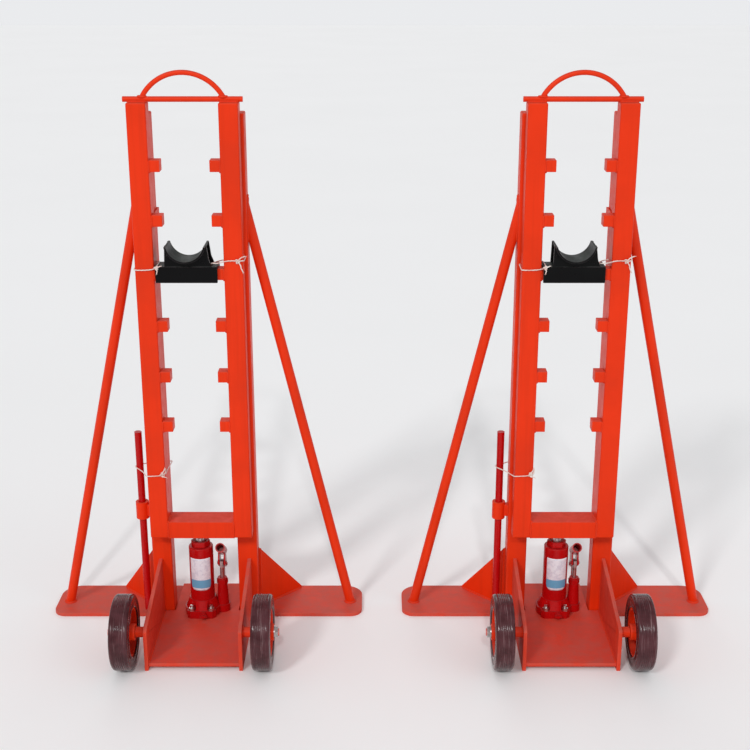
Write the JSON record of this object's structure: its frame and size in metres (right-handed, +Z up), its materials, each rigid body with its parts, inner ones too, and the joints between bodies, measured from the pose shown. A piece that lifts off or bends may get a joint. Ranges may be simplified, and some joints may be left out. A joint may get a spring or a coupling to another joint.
{
  "type": "pair of axle jack stands",
  "caption": "Pair of ladder-type hydraulic axle jack stands: a hooked ladder slides up a braced mast on a bottle jack, and a loose cradle on the hooks carries the axle or drum spindle.",
  "frame": {"origin": "on the floor, in the middle of the footprint of the two stands", "axes": "+Z up, +X to the right along the pair, +Y to the back, away from the wheels"},
  "size_m": [1.884, 0.538, 1.5335],
  "materials": {
    "orange_paint": "semi-gloss orange-red enamel",
    "red_paint": "gloss crimson enamel",
    "bare_steel": "zinc-plated or ground",
    "black_paint": "gloss black enamel",
    "rubber": "moulded solid rubber, dusty",
    "tie_string": "thin packing string",
    "label_paper": "blank printed label"
  },
  "bodies": {
    "left_stand_frame": {"left_stand_base_plate": "orange_paint", "left_stand_tray_floor": "orange_paint", "left_stand_side_plates": "orange_paint", "left_stand_masts": "orange_paint", "left_stand_brace_tubes": "orange_paint", "left_stand_foot_gussets": "orange_paint", "left_stand_handle_clip": "orange_paint", "left_stand_stub_axles": "orange_paint", "left_stand_fasteners": "bare_steel", "left_stand_jack_base": "red_paint", "left_stand_jack_tank": "red_paint", "left_stand_jack_cylinder": "red_paint", "left_stand_pump_cylinder": "red_paint"},
    "left_stand_ladder": {"left_stand_ladder_rails": "orange_paint", "left_stand_top_bar": "orange_paint", "left_stand_carry_handle": "orange_paint", "left_stand_hook_blocks": "orange_paint", "left_stand_lift_beam": "orange_paint", "left_stand_ladder_guides": "orange_paint"},
    "left_stand_ram": {"left_stand_jack_ram": "bare_steel"},
    "left_stand_cradle": {"left_stand_cradle_channel": "black_paint", "left_stand_cradle_saddle": "black_paint"},
    "left_stand_lever": {"left_stand_pump_lever": "red_paint"},
    "left_stand_plunger": {"left_stand_pump_plunger": "bare_steel"},
    "left_stand_valve": {"left_stand_release_valve": "red_paint"},
    "left_stand_left_wheel": {"left_stand_left_tyre": "rubber", "left_stand_left_rim": "orange_paint"},
    "left_stand_right_wheel": {"left_stand_right_tyre": "rubber", "left_stand_right_rim": "orange_paint"},
    "left_stand_bar": {"left_stand_pump_bar": "red_paint"},
    "right_stand_frame": {"right_stand_base_plate": "orange_paint", "right_stand_tray_floor": "orange_paint", "right_stand_side_plates": "orange_paint", "right_stand_masts": "orange_paint", "right_stand_brace_tubes": "orange_paint", "right_stand_foot_gussets": "orange_paint", "right_stand_handle_clip": "orange_paint", "right_stand_stub_axles": "orange_paint", "right_stand_fasteners": "bare_steel", "right_stand_jack_base": "red_paint", "right_stand_jack_tank": "red_paint", "right_stand_jack_cylinder": "red_paint", "right_stand_pump_cylinder": "red_paint"},
    "right_stand_ladder": {"right_stand_ladder_rails": "orange_paint", "right_stand_top_bar": "orange_paint", "right_stand_carry_handle": "orange_paint", "right_stand_hook_blocks": "orange_paint", "right_stand_lift_beam": "orange_paint", "right_stand_ladder_guides": "orange_paint"},
    "right_stand_ram": {"right_stand_jack_ram": "bare_steel"},
    "right_stand_cradle": {"right_stand_cradle_channel": "black_paint", "right_stand_cradle_saddle": "black_paint"},
    "right_stand_lever": {"right_stand_pump_lever": "red_paint"},
    "right_stand_plunger": {"right_stand_pump_plunger": "bare_steel"},
    "right_stand_valve": {"right_stand_release_valve": "red_paint"},
    "right_stand_left_wheel": {"right_stand_left_tyre": "rubber", "right_stand_left_rim": "orange_paint"},
    "right_stand_right_wheel": {"right_stand_right_tyre": "rubber", "right_stand_right_rim": "orange_paint"},
    "right_stand_bar": {"right_stand_pump_bar": "red_paint"}
  },
  "joints": [
    {"name": "left_stand_ladder_lift", "type": "slide", "parent": "left_stand_frame", "child": "left_stand_ladder", "axis": [0, 0, 1], "range_m": [0, 0.13]},
    {"name": "left_stand_ram_lift", "type": "slide", "parent": "left_stand_frame", "child": "left_stand_ram", "axis": [0, 0, 1], "range_m": [0, 0.13]},
    {"name": "left_stand_cradle_lift", "type": "slide", "parent": "left_stand_ladder", "child": "left_stand_cradle", "axis": [0, 0, 1], "range_m": [0, 0.03]},
    {"name": "left_stand_pump_lever_swing", "type": "hinge", "parent": "left_stand_frame", "child": "left_stand_lever", "pos_m": [-0.454, 0.131, 0.152], "axis": [-1, 0, 0], "range_deg": [-32, 8]},
    {"name": "left_stand_plunger_slide", "type": "slide", "parent": "left_stand_frame", "child": "left_stand_plunger", "axis": [0, 0, 1], "range_m": [-0.0134, 0.0034]},
    {"name": "left_stand_release_valve_turn", "type": "hinge", "parent": "left_stand_frame", "child": "left_stand_valve", "pos_m": [-0.504, 0.055, 0.032], "axis": [0, -1, 0], "range_deg": [0, 180]},
    {"name": "left_stand_left_wheel_spin", "type": "hinge", "parent": "left_stand_frame", "child": "left_stand_left_wheel", "pos_m": [-0.683, -0.169, 0.1015], "axis": [1, 0, 0], "continuous": true},
    {"name": "left_stand_right_wheel_spin", "type": "hinge", "parent": "left_stand_frame", "child": "left_stand_right_wheel", "pos_m": [-0.317, -0.169, 0.1015], "axis": [1, 0, 0], "continuous": true},
    {"name": "left_stand_bar_pull", "type": "slide", "parent": "left_stand_frame", "child": "left_stand_bar", "axis": [0, 0, 1], "range_m": [0, 0.29]},
    {"name": "stand_spacing", "type": "slide", "parent": "left_stand_frame", "child": "right_stand_frame", "axis": [1, 0, 0], "range_m": [-0.08, 0.6]},
    {"name": "right_stand_ladder_lift", "type": "slide", "parent": "right_stand_frame", "child": "right_stand_ladder", "axis": [0, 0, 1], "range_m": [0, 0.13]},
    {"name": "right_stand_ram_lift", "type": "slide", "parent": "right_stand_frame", "child": "right_stand_ram", "axis": [0, 0, 1], "range_m": [0, 0.13]},
    {"name": "right_stand_cradle_lift", "type": "slide", "parent": "right_stand_ladder", "child": "right_stand_cradle", "axis": [0, 0, 1], "range_m": [0, 0.03]},
    {"name": "right_stand_pump_lever_swing", "type": "hinge", "parent": "right_stand_frame", "child": "right_stand_lever", "pos_m": [0.546, 0.131, 0.152], "axis": [-1, 0, 0], "range_deg": [-32, 8]},
    {"name": "right_stand_plunger_slide", "type": "slide", "parent": "right_stand_frame", "child": "right_stand_plunger", "axis": [0, 0, 1], "range_m": [-0.0134, 0.0034]},
    {"name": "right_stand_release_valve_turn", "type": "hinge", "parent": "right_stand_frame", "child": "right_stand_valve", "pos_m": [0.496, 0.055, 0.032], "axis": [0, -1, 0], "range_deg": [0, 180]},
    {"name": "right_stand_left_wheel_spin", "type": "hinge", "parent": "right_stand_frame", "child": "right_stand_left_wheel", "pos_m": [0.317, -0.169, 0.1015], "axis": [1, 0, 0], "continuous": true},
    {"name": "right_stand_right_wheel_spin", "type": "hinge", "parent": "right_stand_frame", "child": "right_stand_right_wheel", "pos_m": [0.683, -0.169, 0.1015], "axis": [1, 0, 0], "continuous": true},
    {"name": "right_stand_bar_pull", "type": "slide", "parent": "right_stand_frame", "child": "right_stand_bar", "axis": [0, 0, 1], "range_m": [0, 0.29]}
  ],
  "couplings": [
    {"joint": "left_stand_ram_lift", "follows": "left_stand_ladder_lift", "ratio": 1},
    {"joint": "left_stand_plunger_slide", "follows": "left_stand_pump_lever_swing", "m_per_rad": 0.024},
    {"joint": "right_stand_ram_lift", "follows": "right_stand_ladder_lift", "ratio": 1},
    {"joint": "right_stand_plunger_slide", "follows": "right_stand_pump_lever_swing", "m_per_rad": 0.024}
  ]
}
